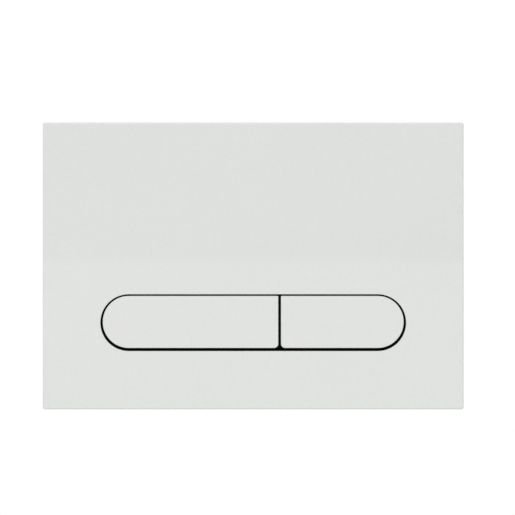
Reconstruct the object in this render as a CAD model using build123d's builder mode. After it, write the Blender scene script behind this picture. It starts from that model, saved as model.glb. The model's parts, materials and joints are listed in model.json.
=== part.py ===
from build123d import *
import math
import os
from dataclasses import dataclass

# Dual flush button plate for a concealed cistern.
# Millimetres. +X is to the right seen from the front, +Z is up and -Y faces the user.
# Y = 0 is the wall surface. The origin is the middle of the cover plate on that wall.

# Driving dimensions of the cover plate
plate_width = 220.0
plate_height = 150.0
plate_depth = 12.5
plate_corner_radius = 1.2
plate_edge_radius = 0.8
front_wall = 2.4
skirt_wall = 2.2
wall_gap = 0.4
rib_wall = 1.4
rib_height = 2.4

# Driving dimensions of the opening for the buttons
opening_width = 159.84
opening_height = 29.7
opening_drop = 29.67
opening_edge_bevel = 0.2
collar_wall = 1.6
collar_height = 1.8

# Driving dimensions of the two buttons
button_gap = 1.25
button_lift = 0.37
divide_x = 13.8
divide_gap = 1.41
button_wall = 2.2
button_skirt_wall = 1.6
button_depth = 3.4
button_edge_bevel = 0.25
lower_corner_radius = 2.2
upper_corner_radius = 0.4
press_angle = 10.0

# Driving dimensions of the carriers inside the buttons
carrier_fit = 0.05
lip_overlap = 0.5
lip_foot = 2.0
lip_end_margin = 0.8
lip_clearance = 0.16

# Driving dimensions of the hinges
hinge_depth = 7.0
hinge_inset = 7.0
pin_radius = 1.25
pin_fit = 0.06
pin_press_fit = 0.03
pin_head_radius = 2.2
pin_head_height = 0.9
pin_overhang = 1.8
lug_wall = 1.45
lug_thickness = 3.0
lug_foot_start = 2.4
lug_foot = 9.0
ear_foot = 8.5
ear_gap = 0.3
clip_thickness = 0.6
clip_radius = 2.6
clip_gap = 0.08
clip_press_fit = 0.02

# Driving dimensions of the stop tabs and their rubber bumpers
tab_offset = 11.0
tab_width = 6.0
tab_wall = 2.0
tab_set_back = 2.1
tab_reach = 7.0
tab_border = 0.6
bumper_width = 5.0
bumper_inset = 0.2
bumper_thickness = 2.0
bumper_pocket = 0.6
bumper_bevel = 0.5
bumper_fit = 0.05
stop_clearance = 0.1

# Driving dimensions of the return springs and their screws
leaf_thickness = 0.4
leaf_width = 8.0
leaf_pin_clearance = 0.35
leaf_anchor_rise = 19.5
leaf_top_margin = 4.5
leaf_bend_drop = 2.7
leaf_bend_radius = 4.0
leaf_contact_drop = 11.5
leaf_contact_clearance = 0.1
leaf_tip_radius = 2.2
rest_block_width = 10.0
rest_block_wall = 3.0
rest_block_height = 3.0
screw_boss_radius = 3.6
screw_head_radius = 2.6
screw_head_height = 1.9
screw_shank_radius = 1.2
screw_shank_length = 5.2
screw_fit = 0.05

# Driving dimensions of the push rods
rod_x = 30.0
rod_lever = 22.4
pad_width = 8.0
pad_set_forward = 1.5
pad_clearance = 0.3
head_radius = 4.8
head_facets = 12
head_length = 5.4
nose_radius = 1.4
nose_length = 1.2
head_end_wall = 1.8
locknut_across_flats = 9.0
locknut_height = 2.6
rod_thread_radius = 3.0
rod_thread_fit = 0.05
rod_thread_run = 4.0
rod_tip_radius = 2.5
rod_tip_length = 38.0
rod_tip_chamfer = 0.6
rod_fit = 0.08
stroke_spare = 0.2

# Driving dimensions of the mounting frame
frame_opening_top = 49.0
frame_opening_bottom = -51.0
frame_opening_radius = 3.0
frame_rim = 14.0
frame_depth = 5.0
frame_base = 2.0
frame_wall = 2.0
frame_rib_wall = 1.4
frame_corner_radius = 6.0
frame_ribs_wide = 6
frame_ribs_high = 4
bridge_width = 96.0
bridge_wall = 2.4
guard_overlap = 1.2
guard_lap = 4.0
gusset_wall = 1.8
sleeve_wall = 2.4
sleeve_collar = 2.4
sleeve_length = 10.0

# Driving dimensions of the snap hooks that hold the cover on the frame
hook_x = 60.0
hook_width = 12.0
hook_wall = 2.0
hook_gap = 0.4
hook_bite = 1.7
hook_barb = 1.8
hook_window_spare = 0.25

# Driving dimensions of the fixing studs, washers and nuts
stud_pitch = 144.0
stud_ear_thickness = 2.4
stud_ear_height = 22.0
stud_ear_inner = 8.0
stud_ear_radius = 6.0
stud_ear_set_forward = 0.6
stud_thread_radius = 2.5
stud_front_spare = 1.0
stud_rear_radius = 3.0
stud_rear_length = 58.0
stud_collar_flats = 10.0
stud_collar_height = 2.8
stud_chamfer = 0.6
stud_slot_length = 12.0
stud_fit = 0.2
washer_radius = 7.0
washer_thickness = 0.8
nut_radius = 8.0
nut_height = 3.6
nut_flutes = 6
nut_flute_radius = 5.0
nut_flute_depth = 0.7
nut_thread_fit = 0.05
nut_frame_clearance = 2.0

# Planes and lines that several pieces share
front_y = -plate_depth
cover_back_y = front_y + front_wall
collar_y = cover_back_y + collar_height
opening_z = -opening_drop
opening_top_z = opening_z + opening_height / 2
button_row_width = opening_width - 2 * button_gap
button_height = opening_height - 2 * button_gap
button_z = opening_z + button_lift
button_back_y = front_y + button_wall
button_rear_y = front_y + button_depth
button_bottom_z = button_z - button_height / 2
hinge_y = front_y + hinge_depth
hinge_z = button_z + button_height / 2
lug_radius = pin_radius + lug_wall
lip_rear_y = hinge_y - lug_radius - lip_clearance
lip_top_z = opening_top_z + lip_overlap
lip_foot_z = hinge_z - button_skirt_wall - lip_foot
tab_front_y = collar_y + tab_set_back
tab_rear_y = tab_front_y + tab_wall
tab_bottom_z = button_bottom_z - tab_reach
bumper_bottom_z = tab_bottom_z + tab_border
bumper_top_z = button_bottom_z - bumper_inset
bumper_height = bumper_top_z - bumper_bottom_z
bumper_z = (bumper_bottom_z + bumper_top_z) / 2
bumper_rear_y = tab_front_y + bumper_pocket
bumper_front_y = bumper_rear_y - bumper_thickness
stop_face_y = bumper_front_y - stop_clearance
leaf_y = hinge_y + pin_radius + leaf_pin_clearance
leaf_anchor_z = hinge_z + leaf_anchor_rise
leaf_top_z = leaf_anchor_z + leaf_top_margin
leaf_contact_z = hinge_z - leaf_contact_drop
rest_block_y = button_back_y + rest_block_height
rod_z = hinge_z - rod_lever
pad_y = hinge_y - pad_set_forward
head_y = pad_y + pad_clearance
locknut_y = head_y + head_length
locknut_rear_y = locknut_y + locknut_height
press = math.radians(press_angle)
rod_stroke = (rod_lever + nose_radius) * math.tan(press)
sleeve_radius = rod_thread_radius + rod_fit + sleeve_wall
sleeve_y = locknut_rear_y + rod_stroke + stroke_spare
web_rear_y = sleeve_y + bridge_wall
sleeve_rear_y = sleeve_y + sleeve_length
rod_step_y = sleeve_rear_y + rod_thread_run
stud_x = stud_pitch / 2
frame_opening_width = stud_pitch + 2 * (nut_radius + nut_frame_clearance)
frame_opening_height = frame_opening_top - frame_opening_bottom
frame_z = (frame_opening_top + frame_opening_bottom) / 2
frame_channel = frame_depth - frame_base
shelf_z = frame_opening_bottom - frame_wall / 2
hook_barb_y = -frame_channel + hook_window_spare
hook_tip_y = hook_barb_y + hook_barb
stud_ear_rear_y = -stud_ear_set_forward
stud_ear_front_y = stud_ear_rear_y - stud_ear_thickness
stud_collar_rear_y = stud_ear_rear_y + stud_collar_height
washer_front_y = stud_ear_front_y - washer_thickness
nut_front_y = washer_front_y - nut_height


@dataclass
class FlushButton:
    """Where one button starts and ends, and where the straight part of its top edge does."""

    name: str
    left: float
    right: float
    straight_left: float
    straight_right: float
    rod_x: float

    def lug_places(self):
        return self.straight_left + hinge_inset, self.straight_right - hinge_inset

    def ear_places(self):
        step = lug_thickness + ear_gap
        left, right = self.lug_places()
        return left + step, right - step

    def lip_ends(self):
        return self.straight_left + lip_end_margin, self.straight_right - lip_end_margin

    def spring_x(self):
        return sum(self.lug_places()) / 2

    def tab_places(self):
        return self.rod_x - tab_offset, self.rod_x + tab_offset


row_end = button_row_width / 2
end_radius = button_height / 2
divide_left = divide_x - divide_gap / 2
divide_right = divide_x + divide_gap / 2
full_flush = FlushButton("full_flush", -row_end, divide_left, end_radius - row_end, divide_left, -rod_x)
half_flush = FlushButton("half_flush", divide_right, row_end, divide_right, row_end - end_radius, rod_x)
buttons = (full_flush, half_flush)
sides = {"left": -1, "right": 1}


def facing(y):
    """The plane at this depth with X and Z as its sketch axes. A positive extrusion comes forward, to -Y."""
    return Plane.XZ.offset(-y)


def across(x):
    """The plane at this width with Y and Z as its sketch axes, for profiles seen from the side."""
    return Plane.YZ.offset(x)


def cut_forward(y_rear, y_front):
    """Removes the pending sketch, drawn at y_rear, as far forward as y_front."""
    extrude(amount=y_rear - y_front, mode=Mode.SUBTRACT)


def hinge_cheek(x, foot_y, foot_top_z, foot_bottom_z):
    """The side profile of a hinge lug or ear: a foot on a wall, drawn out to a round eye on the axis."""
    with BuildSketch(across(x - lug_thickness / 2)) as profile:
        with BuildLine():
            Line((foot_y, foot_bottom_z), (foot_y, foot_top_z))
            CenterArc((hinge_y, hinge_z), lug_radius, 0, 360)
        make_hull()
    return profile.sketch


def on_hinge(x, *radii):
    """A round section about the hinge axis, at this width, or a ring where an inner radius is given too."""
    with BuildSketch(across(x)) as section:
        with Locations((hinge_y, hinge_z)):
            Circle(radii[0])
            for inner in radii[1:]:
                Circle(inner, mode=Mode.SUBTRACT)
    return section.sketch


def button_outline(button, inset=0.0):
    """Draws one button's outline: the shared round-ended row, cut off at the divide."""
    with Locations((0, button_z)):
        SlotOverall(button_row_width - 2 * inset, button_height - 2 * inset)
    with Locations(((button.left + button.right) / 2, button_z)):
        Rectangle(button.right - button.left - 2 * inset, button_height, mode=Mode.INTERSECT)


def round_divide_corners(outline, button):
    """Rounds the two corners at the divide, the lower one more than the upper one."""
    end = -1 if button is full_flush else 0
    fillet(outline.vertices().group_by(Axis.X)[end].sort_by(Axis.Y)[-1], upper_corner_radius)
    fillet(outline.vertices().sort_by(Axis.Y).group_by(Axis.X)[end].sort_by(Axis.Y)[0], lower_corner_radius)


def guard_window(button):
    """The opening in the guard behind one button: its outline drawn in, and open upwards between the lugs."""
    left, right = button.lug_places()
    with BuildSketch() as window:
        button_outline(button, guard_lap)
        with Locations(((left + right) / 2, button_z + button_height / 2)):
            Rectangle(right - left, button_height)
    return window.sketch


# Cover plate: a shallow moulded tray, open at the back
with BuildPart() as cover_plate:
    with BuildSketch(facing(-wall_gap)):
        RectangleRounded(plate_width, plate_height, plate_corner_radius)
    extrude(amount=plate_depth - wall_gap)
    fillet(cover_plate.faces().sort_by(Axis.Y)[0].edges(), plate_edge_radius)
    with BuildSketch(facing(-wall_gap)):
        Rectangle(plate_width - 2 * skirt_wall, plate_height - 2 * skirt_wall)
    cut_forward(-wall_gap, cover_back_y)

    # Stiffening ribs on the blank upper half
    ribs_bottom_z = leaf_top_z + screw_boss_radius
    ribs_top_z = plate_height / 2 - skirt_wall
    with BuildSketch(facing(cover_back_y)):
        with Locations((0, ribs_bottom_z)):
            Rectangle(plate_width - 2 * skirt_wall, rib_wall)
        with Locations((0, (ribs_bottom_z + ribs_top_z) / 2)):
            Rectangle(plate_width - 2 * skirt_wall, rib_wall)
            with GridLocations(hook_x, 0, 3, 1):
                Rectangle(rib_wall, ribs_top_z - ribs_bottom_z)
    extrude(amount=-rib_height)

    # Collar round the opening, left off along the hinges
    with BuildSketch(facing(cover_back_y)):
        with Locations((0, opening_z)):
            SlotOverall(opening_width + 2 * collar_wall, opening_height + 2 * collar_wall)
    extrude(amount=-collar_height)
    with BuildSketch(facing(collar_y)):
        with Locations((0, opening_top_z + collar_wall / 2)):
            Rectangle(opening_width - opening_height, 2 * collar_wall)
    cut_forward(collar_y, cover_back_y)
    with BuildSketch(facing(collar_y)):
        with Locations((0, opening_z)):
            SlotOverall(opening_width, opening_height)
    cut_forward(collar_y, front_y)
    chamfer(cover_plate.faces().sort_by(Axis.Y)[0].inner_wires()[0].edges(), opening_edge_bevel)

    # Hinge lugs above the opening
    lug_bottom_z = opening_top_z + lug_foot_start
    for button in buttons:
        for x in button.lug_places():
            extrude(hinge_cheek(x, cover_back_y, lug_bottom_z + lug_foot, lug_bottom_z), amount=lug_thickness)
            bore = on_hinge(x, pin_radius + pin_press_fit)
            extrude(bore, amount=lug_thickness, both=True, mode=Mode.SUBTRACT)

    # Room in front of the lugs for the lips of the button carriers
    lip_room_y = lip_rear_y + lip_clearance / 2
    lip_room_top_z = lip_top_z + 2 * lip_clearance
    with BuildSketch(facing(lip_room_y)):
        for button in buttons:
            for x in button.lug_places():
                with Locations((x, (lip_room_top_z + hinge_z - lug_radius) / 2)):
                    Rectangle(lug_thickness + ear_gap, lip_room_top_z - hinge_z + lug_radius)
    cut_forward(lip_room_y, cover_back_y)

    # Stop blocks that the bumpers come to rest on
    stop_top_z = opening_z - opening_height / 2 - collar_wall / 2
    with BuildSketch(facing(cover_back_y)):
        for button in buttons:
            for x in button.tab_places():
                with Locations((x, (stop_top_z + bumper_bottom_z) / 2)):
                    Rectangle(tab_width, stop_top_z - bumper_bottom_z)
    extrude(amount=cover_back_y - stop_face_y)

    # Screw bosses for the return springs
    with BuildSketch(facing(cover_back_y)):
        for button in buttons:
            with Locations((button.spring_x(), leaf_anchor_z)):
                Circle(screw_boss_radius)
                Rectangle(2 * leaf_width, rib_wall)
    extrude(amount=cover_back_y - leaf_y)
    with BuildSketch(facing(leaf_y)):
        for button in buttons:
            with Locations((button.spring_x(), leaf_anchor_z)):
                Circle(screw_shank_radius + screw_fit)
    cut_forward(leaf_y, leaf_y - screw_shank_length)

    # Snap hooks that catch in the frame's windows
    for edge_z, outward in ((frame_opening_top, 1), (frame_opening_bottom, -1)):
        outer_z = edge_z - outward * hook_gap
        inner_z = outer_z - outward * hook_wall
        barb_z = edge_z + outward * hook_bite
        for side in sides.values():
            with BuildSketch(across(side * hook_x - hook_width / 2)):
                with BuildLine():
                    Polyline(
                        (cover_back_y, inner_z),
                        (cover_back_y, outer_z),
                        (hook_barb_y, outer_z),
                        (hook_barb_y, barb_z),
                        (hook_tip_y, outer_z),
                        (hook_tip_y, inner_z),
                        close=True,
                    )
                make_face()
            extrude(amount=hook_width)


# Mounting frame: a ribbed channel section on the wall, with two stud ears and a bridge for the rods
with BuildPart() as mounting_frame:
    rim_width = frame_opening_width + 2 * frame_rim
    rim_height = frame_opening_height + 2 * frame_rim
    with BuildSketch(facing(0)):
        with Locations((0, frame_z)):
            RectangleRounded(rim_width, rim_height, frame_corner_radius)
    extrude(amount=frame_depth)
    with BuildSketch(facing(0)):
        with Locations((0, frame_z)):
            RectangleRounded(
                rim_width - 2 * frame_wall, rim_height - 2 * frame_wall, frame_corner_radius - frame_wall
            )
            Rectangle(
                frame_opening_width + 2 * frame_wall,
                frame_opening_height + 2 * frame_wall,
                mode=Mode.SUBTRACT,
            )
    extrude(amount=frame_channel, mode=Mode.SUBTRACT)
    with BuildSketch(facing(0)):
        with Locations((0, frame_z)):
            with GridLocations(frame_opening_width / (frame_ribs_wide - 1), 0, frame_ribs_wide, 1):
                Rectangle(frame_rib_wall, rim_height - frame_wall)
            with GridLocations(0, frame_opening_height / (frame_ribs_high - 1), 1, frame_ribs_high):
                Rectangle(rim_width - frame_wall, frame_rib_wall)
    extrude(amount=frame_channel)
    with BuildSketch(facing(0)):
        with Locations((0, frame_z)):
            RectangleRounded(frame_opening_width, frame_opening_height, frame_opening_radius)
    cut_forward(0, -frame_depth)

    # Ears with slots for the fixing studs, kept clear of the wall
    for side in sides.values():
        with BuildSketch(facing(stud_ear_rear_y)) as ear:
            ear_outer = frame_opening_width / 2 + frame_wall / 2
            ear_inner = stud_x - stud_ear_inner
            with Locations((side * (ear_outer + ear_inner) / 2, 0)):
                Rectangle(ear_outer - ear_inner, stud_ear_height)
            fillet(ear.vertices().group_by(Axis.X)[-1 if side < 0 else 0], stud_ear_radius)
            with Locations((side * stud_x, 0)):
                SlotOverall(stud_slot_length, 2 * (stud_thread_radius + stud_fit), mode=Mode.SUBTRACT)
        extrude(amount=stud_ear_thickness)

    # Windows for the cover's snap hooks
    for wall_z in (frame_opening_top + frame_wall / 2, frame_opening_bottom - frame_wall / 2):
        with BuildSketch(facing(hook_tip_y + hook_window_spare)):
            with Locations((-hook_x, wall_z), (hook_x, wall_z)):
                Rectangle(hook_width + 4 * hook_window_spare, frame_wall + 2 * hook_window_spare)
        cut_forward(hook_tip_y + hook_window_spare, -frame_channel)

    # Bridge behind the buttons: a shelf, gussets and a guard that follows the gaps round the buttons
    with BuildSketch(facing(web_rear_y)):
        with Locations((0, shelf_z)):
            Rectangle(bridge_width, frame_wall)
    extrude(amount=web_rear_y + frame_channel / 2)
    with BuildSketch(facing(web_rear_y)):
        with Locations((0, opening_z)):
            SlotOverall(opening_width + 2 * guard_overlap, opening_height + 2 * guard_overlap)
        for button in buttons:
            add(guard_window(button), mode=Mode.SUBTRACT)
        with Locations((0, (shelf_z + button_bottom_z) / 2)):
            Rectangle(bridge_width, button_bottom_z - shelf_z)
        with Locations((-rod_x, rod_z), (rod_x, rod_z)):
            Circle(sleeve_radius + sleeve_collar)
    extrude(amount=bridge_wall)
    gusset_reach = (bridge_width - gusset_wall) / 2
    for x in (-gusset_reach, -rod_x, rod_x, gusset_reach):
        with BuildSketch(across(x - gusset_wall / 2)):
            with BuildLine():
                Polyline((0, shelf_z), (web_rear_y, shelf_z), (web_rear_y, rod_z - sleeve_radius), close=True)
            make_face()
        extrude(amount=gusset_wall)

    # Guide sleeves for the push rods
    with BuildSketch(facing(sleeve_rear_y)):
        with Locations((-rod_x, rod_z), (rod_x, rod_z)):
            Circle(sleeve_radius)
    extrude(amount=sleeve_length)
    with BuildSketch(facing(sleeve_rear_y)):
        with Locations((-rod_x, rod_z), (rod_x, rod_z)):
            Circle(rod_thread_radius + rod_fit)
    cut_forward(sleeve_rear_y, sleeve_y)


def flush_button(button):
    """One button: a shallow cap with a rim all round, open at the back for its carrier."""
    with BuildPart() as cap:
        with BuildSketch(facing(button_rear_y)) as outline:
            button_outline(button)
            round_divide_corners(outline, button)
        extrude(amount=button_depth)
        chamfer(cap.faces().sort_by(Axis.Y)[0].edges(), button_edge_bevel)
        with BuildSketch(facing(button_rear_y)):
            button_outline(button, button_skirt_wall)
        cut_forward(button_rear_y, button_back_y)
    return cap


def button_carrier(button):
    """The black carrier bonded into a button: hinge ears, stop tabs, push pad, spring rest and top lip."""
    with BuildPart() as carrier:
        with BuildSketch(facing(button_rear_y)):
            button_outline(button, button_skirt_wall + carrier_fit)
        extrude(amount=button_depth - button_wall)

        # Lip that closes the gap above the button and hides the hinge
        lip_left, lip_right = button.lip_ends()
        with BuildSketch(facing(lip_rear_y)):
            with Locations(((lip_left + lip_right) / 2, (lip_top_z + lip_foot_z) / 2)):
                Rectangle(lip_right - lip_left, lip_top_z - lip_foot_z)
        extrude(amount=lip_rear_y - button_rear_y)

        # Hinge ears between the cover's lugs
        ear_top_z = hinge_z - button_skirt_wall - carrier_fit
        for x in button.ear_places():
            extrude(hinge_cheek(x, button_rear_y, ear_top_z, ear_top_z - ear_foot), amount=lug_thickness)
            bore = on_hinge(x, pin_radius + pin_fit)
            extrude(bore, amount=lug_thickness, both=True, mode=Mode.SUBTRACT)

        # Stop tabs that reach down behind the collar, with pockets for the bumpers
        tab_foot_z = button_bottom_z + button_skirt_wall + 2 * tab_wall
        for x in button.tab_places():
            with BuildSketch(across(x - tab_width / 2)):
                with BuildLine():
                    Polyline(
                        (button_rear_y, button_bottom_z),
                        (button_rear_y, tab_foot_z),
                        (tab_rear_y, tab_foot_z),
                        (tab_rear_y, tab_bottom_z),
                        (tab_front_y, tab_bottom_z),
                        (tab_front_y, button_bottom_z),
                        close=True,
                    )
                make_face()
            extrude(amount=tab_width)
        with BuildSketch(facing(bumper_rear_y)):
            for x in button.tab_places():
                with Locations((x, bumper_z)):
                    Rectangle(bumper_width + 2 * bumper_fit, bumper_height + 2 * bumper_fit)
        cut_forward(bumper_rear_y, tab_front_y)

        # Push pad for the rod, and the block that the spring bears on
        with BuildSketch(facing(button_rear_y)):
            with Locations((button.rod_x, rod_z)):
                Rectangle(pad_width, pad_width)
        extrude(amount=button_rear_y - pad_y)
        with BuildSketch(facing(button_rear_y)):
            with Locations((button.spring_x(), leaf_contact_z)):
                Rectangle(rest_block_width, rest_block_wall)
        extrude(amount=button_rear_y - rest_block_y)
    return carrier


def stop_bumpers(button):
    """The two rubber bumpers of one button: pads bonded into the pockets of its stop tabs."""
    with BuildPart() as bumpers:
        with BuildSketch(facing(bumper_rear_y)):
            for x in button.tab_places():
                with Locations((x, bumper_z)):
                    Rectangle(bumper_width, bumper_height)
        extrude(amount=bumper_thickness)
        chamfer(bumpers.faces().group_by(Axis.Y)[0].edges(), bumper_bevel)
    return bumpers


def hinge_pin(button):
    """A headed steel pin through two lugs and two ears, with room past the far lug for its clip."""
    left, right = button.lug_places()
    head_x = left - lug_thickness / 2
    lug_end_x = right + lug_thickness / 2
    with BuildPart() as pin:
        extrude(on_hinge(head_x, pin_radius), amount=lug_end_x + pin_overhang - head_x)
        extrude(on_hinge(head_x, pin_head_radius), amount=-pin_head_height)
    return pin


def pin_clip(button):
    """The push-on clip that keeps the pin from sliding out."""
    clip_x = button.lug_places()[1] + lug_thickness / 2 + clip_gap
    with BuildPart() as clip:
        extrude(on_hinge(clip_x, clip_radius, pin_radius + clip_press_fit), amount=clip_thickness)
    return clip


def return_spring(button):
    """A leaf of spring steel: screwed to the cover, past the pin, forward onto the button's rest block."""
    bend_z = hinge_z - leaf_bend_drop
    tip_y = rest_block_y + leaf_contact_clearance + leaf_tip_radius
    reach = math.hypot(leaf_y - tip_y, bend_z - leaf_contact_z)
    start = math.atan2(bend_z - leaf_contact_z, leaf_y - tip_y) + math.acos(leaf_tip_radius / reach)
    touch_y = tip_y + leaf_tip_radius * math.cos(start)
    touch_z = leaf_contact_z + leaf_tip_radius * math.sin(start)
    with BuildPart() as leaf:
        with BuildSketch(across(button.spring_x() - leaf_width / 2)):
            with BuildLine():
                FilletPolyline(
                    (leaf_y, leaf_top_z), (leaf_y, bend_z), (touch_y, touch_z), radius=leaf_bend_radius
                )
                CenterArc(
                    (tip_y, leaf_contact_z), leaf_tip_radius, math.degrees(start), 250 - math.degrees(start)
                )
                offset(amount=leaf_thickness, side=Side.LEFT)
            make_face()
        extrude(amount=leaf_width)
        with BuildSketch(facing(leaf_y + leaf_thickness)):
            with Locations((button.spring_x(), leaf_anchor_z)):
                Circle(screw_shank_radius + 4 * screw_fit)
        cut_forward(leaf_y + leaf_thickness, leaf_y)
    return leaf


def spring_screw(button):
    """The screw that holds the spring on its boss."""
    seat_y = leaf_y + leaf_thickness
    with BuildPart() as screw:
        with BuildSketch(facing(seat_y)):
            with Locations((button.spring_x(), leaf_anchor_z)):
                Circle(screw_head_radius)
        extrude(amount=-screw_head_height)
        with BuildSketch(facing(seat_y)):
            with Locations((button.spring_x(), leaf_anchor_z)):
                Circle(screw_shank_radius)
        extrude(amount=leaf_thickness + screw_shank_length - screw_fit)
    return screw


def push_rod(button):
    """The rod that passes the push on to the valve: threaded for its head in front, slimmer behind."""
    with BuildPart() as rod:
        with BuildSketch(facing(rod_step_y)):
            with Locations((button.rod_x, rod_z)):
                Circle(rod_thread_radius)
        extrude(amount=rod_step_y - head_y - head_end_wall - rod_thread_fit)
        with BuildSketch(facing(rod_step_y)):
            with Locations((button.rod_x, rod_z)):
                Circle(rod_tip_radius)
        extrude(amount=-rod_tip_length)
        chamfer(rod.faces().sort_by(Axis.Y)[-1].edges(), rod_tip_chamfer)
    return rod


def rod_head(button):
    """The faceted head that is screwed along the rod to set its length. Its nose bears on the push pad."""
    with BuildPart() as head:
        with BuildSketch(facing(locknut_y)):
            with Locations((button.rod_x, rod_z)):
                RegularPolygon(head_radius, head_facets)
        extrude(amount=head_length - nose_length)
        with BuildSketch(facing(head_y + nose_length)):
            with Locations((button.rod_x, rod_z)):
                Circle(nose_radius)
        extrude(amount=nose_length)
        with BuildSketch(facing(locknut_y)):
            with Locations((button.rod_x, rod_z)):
                Circle(rod_thread_radius + rod_thread_fit)
        cut_forward(locknut_y, head_y + head_end_wall)
    return head


def rod_locknut(button):
    """The thin hexagon nut that locks the head. It stops just short of the guide sleeve when pressed."""
    with BuildPart() as locknut:
        with BuildSketch(facing(locknut_rear_y)):
            with Locations((button.rod_x, rod_z)):
                RegularPolygon(locknut_across_flats / 2, 6, major_radius=False)
                Circle(rod_thread_radius + rod_thread_fit, mode=Mode.SUBTRACT)
        extrude(amount=locknut_height)
    return locknut


def fixing_studs():
    """The cistern's two fixing studs: slim thread for the nut, hexagon collar, thick thread behind."""
    with BuildPart() as studs:
        with BuildSketch(facing(stud_collar_rear_y)):
            with GridLocations(stud_pitch, 0, 2, 1):
                Circle(stud_thread_radius)
        extrude(amount=stud_collar_rear_y - nut_front_y + stud_front_spare)
        with BuildSketch(facing(stud_collar_rear_y)):
            with GridLocations(stud_pitch, 0, 2, 1):
                Circle(stud_rear_radius)
        extrude(amount=-stud_rear_length)
        chamfer(studs.faces().group_by(Axis.Y)[-1].edges(), stud_chamfer)
        with BuildSketch(facing(stud_collar_rear_y)):
            with GridLocations(stud_pitch, 0, 2, 1):
                RegularPolygon(stud_collar_flats / 2, 6, major_radius=False)
        extrude(amount=stud_collar_height)
    return studs


def fixing_washers():
    """The two plain washers between the slotted ears and the nuts."""
    with BuildPart() as washers:
        with BuildSketch(facing(stud_ear_front_y)):
            with GridLocations(stud_pitch, 0, 2, 1):
                Circle(washer_radius)
                Circle(stud_thread_radius + stud_fit, mode=Mode.SUBTRACT)
        extrude(amount=washer_thickness)
    return washers


def fixing_nuts():
    """The two fluted hand nuts that clamp the frame's ears to the studs' collars."""
    with BuildPart() as nuts:
        with BuildSketch(facing(washer_front_y)):
            with GridLocations(stud_pitch, 0, 2, 1):
                Circle(nut_radius)
                with PolarLocations(nut_radius + nut_flute_radius - nut_flute_depth, nut_flutes):
                    Circle(nut_flute_radius, mode=Mode.SUBTRACT)
                Circle(stud_thread_radius + nut_thread_fit, mode=Mode.SUBTRACT)
        extrude(amount=nut_height)
    return nuts


pieces = {
    "cover_plate": cover_plate,
    "mounting_frame": mounting_frame,
    "fixing_studs": fixing_studs(),
    "fixing_washers": fixing_washers(),
    "fixing_nuts": fixing_nuts(),
}
for button in buttons:
    pieces[f"{button.name}_button"] = flush_button(button)
    pieces[f"{button.name}_carrier"] = button_carrier(button)
    pieces[f"{button.name}_bumpers"] = stop_bumpers(button)
    pieces[f"{button.name}_hinge_pin"] = hinge_pin(button)
    pieces[f"{button.name}_pin_clip"] = pin_clip(button)
    pieces[f"{button.name}_return_spring"] = return_spring(button)
    pieces[f"{button.name}_spring_screw"] = spring_screw(button)
    pieces[f"{button.name}_push_rod"] = push_rod(button)
    pieces[f"{button.name}_rod_head"] = rod_head(button)
    pieces[f"{button.name}_rod_locknut"] = rod_locknut(button)

os.makedirs("parts", exist_ok=True)
for name, piece in pieces.items():
    piece.part.label = name
    export_step(piece.part, f"parts/{name}.step")
    print(name, len(piece.part.solids()), round(piece.part.volume, 1))
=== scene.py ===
# %% [markdown]
# # A flush button plate for a concealed cistern
# The plate covers the service opening in a tiled wall. Two buttons turn on hidden hinges in a long
# round-ended opening, and behind them are springs, push rods and the frame that two studs hold to the wall.
# The solids come from the CAD model and keep their size and place. This file gives every one of them its
# finish, and adds what is too fine for the solids: screw threads, cross recesses, eased edges, mould marks
# and the thin black sheets of painted shade behind the gaps.

# %% Load the solids as a fixed frame
import json
import math

import bmesh
import bpy
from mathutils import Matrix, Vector


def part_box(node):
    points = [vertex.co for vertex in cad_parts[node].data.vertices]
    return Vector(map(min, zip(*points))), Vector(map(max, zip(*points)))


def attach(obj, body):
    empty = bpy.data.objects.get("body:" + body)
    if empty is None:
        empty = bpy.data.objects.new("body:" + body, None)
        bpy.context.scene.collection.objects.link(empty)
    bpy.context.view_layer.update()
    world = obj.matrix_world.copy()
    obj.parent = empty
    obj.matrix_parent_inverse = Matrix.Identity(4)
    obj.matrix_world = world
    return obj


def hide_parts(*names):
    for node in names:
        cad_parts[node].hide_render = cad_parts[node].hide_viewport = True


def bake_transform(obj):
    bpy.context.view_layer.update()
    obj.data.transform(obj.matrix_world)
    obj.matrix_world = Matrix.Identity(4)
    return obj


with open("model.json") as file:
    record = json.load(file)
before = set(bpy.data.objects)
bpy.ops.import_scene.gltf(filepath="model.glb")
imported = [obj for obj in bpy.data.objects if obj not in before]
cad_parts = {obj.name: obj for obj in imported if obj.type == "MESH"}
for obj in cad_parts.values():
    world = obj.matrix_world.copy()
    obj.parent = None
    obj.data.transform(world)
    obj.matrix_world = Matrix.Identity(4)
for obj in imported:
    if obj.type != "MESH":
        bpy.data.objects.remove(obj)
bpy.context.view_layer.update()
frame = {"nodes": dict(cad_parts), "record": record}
mm = 0.001

# %% [markdown]
# Most places in this file are worked out from the solids or from the record's mounts, so a piece can't
# drift away from what carries it. The plate's front face is the lowest Y, because the user stands on the
# -Y side.

# %% Places that the pieces share
mounts = {mount["name"]: mount for mount in frame["record"]["mounts"]}
button_names = ("full_flush", "half_flush")
plate_low, plate_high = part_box("cover_plate")
frame_low, frame_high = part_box("mounting_frame")
studs_low, studs_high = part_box("fixing_studs")
front_y = plate_low.y
stud_pitch = mounts["fixing_studs"]["dims"]["spacing_x_mm"] * mm
print("plate, mm:", [round(side / mm, 1) for side in plate_high - plate_low])
print("stud pitch, mm:", stud_pitch / mm)

# %% [markdown]
# Colours are written as sRGB hex values, as a paint program shows them. Blender's shaders want linear
# values, so one function turns them round. A second one turns a real pattern size into a texture's Scale.

# %% Colour and pattern helpers
def linear(hex_colour):
    """The linear RGBA of an sRGB hex colour."""
    channels = [int(hex_colour[i:i + 2], 16) / 255 for i in (1, 3, 5)]
    curved = [c / 12.92 if c <= 0.04045 else ((c + 0.055) / 1.055) ** 2.4 for c in channels]
    return (*curved, 1.0)


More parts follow.
